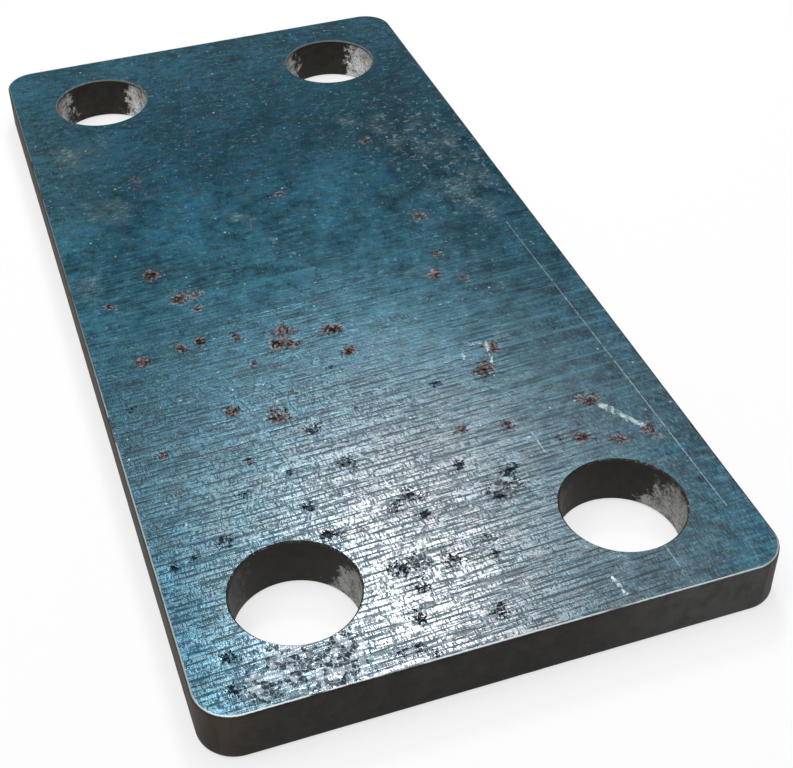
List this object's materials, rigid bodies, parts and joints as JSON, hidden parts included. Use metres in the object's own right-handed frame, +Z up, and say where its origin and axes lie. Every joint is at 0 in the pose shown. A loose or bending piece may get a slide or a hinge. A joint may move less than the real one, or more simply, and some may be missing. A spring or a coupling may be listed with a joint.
{
  "type": "steel plate",
  "caption": "Flat rectangular hot-rolled steel plate with rounded corners and a round bolt hole near each corner, weathered blue mill scale with rust specks.",
  "frame": {"origin": "middle of the underside, which is the middle of the bounding box's bottom", "axes": "+X along the length, +Y across the width, +Z up through the thickness, out of the rolled face that shows"},
  "size_m": [0.25, 0.12, 0.012],
  "materials": {
    "mill_scale_steel": "blue-grey mill scale, brushed sheen, small rust spots and scratches, brown-grey cut edges"
  },
  "bodies": {
    "root": {"steel_plate": "mill_scale_steel"}
  },
  "joints": []
}
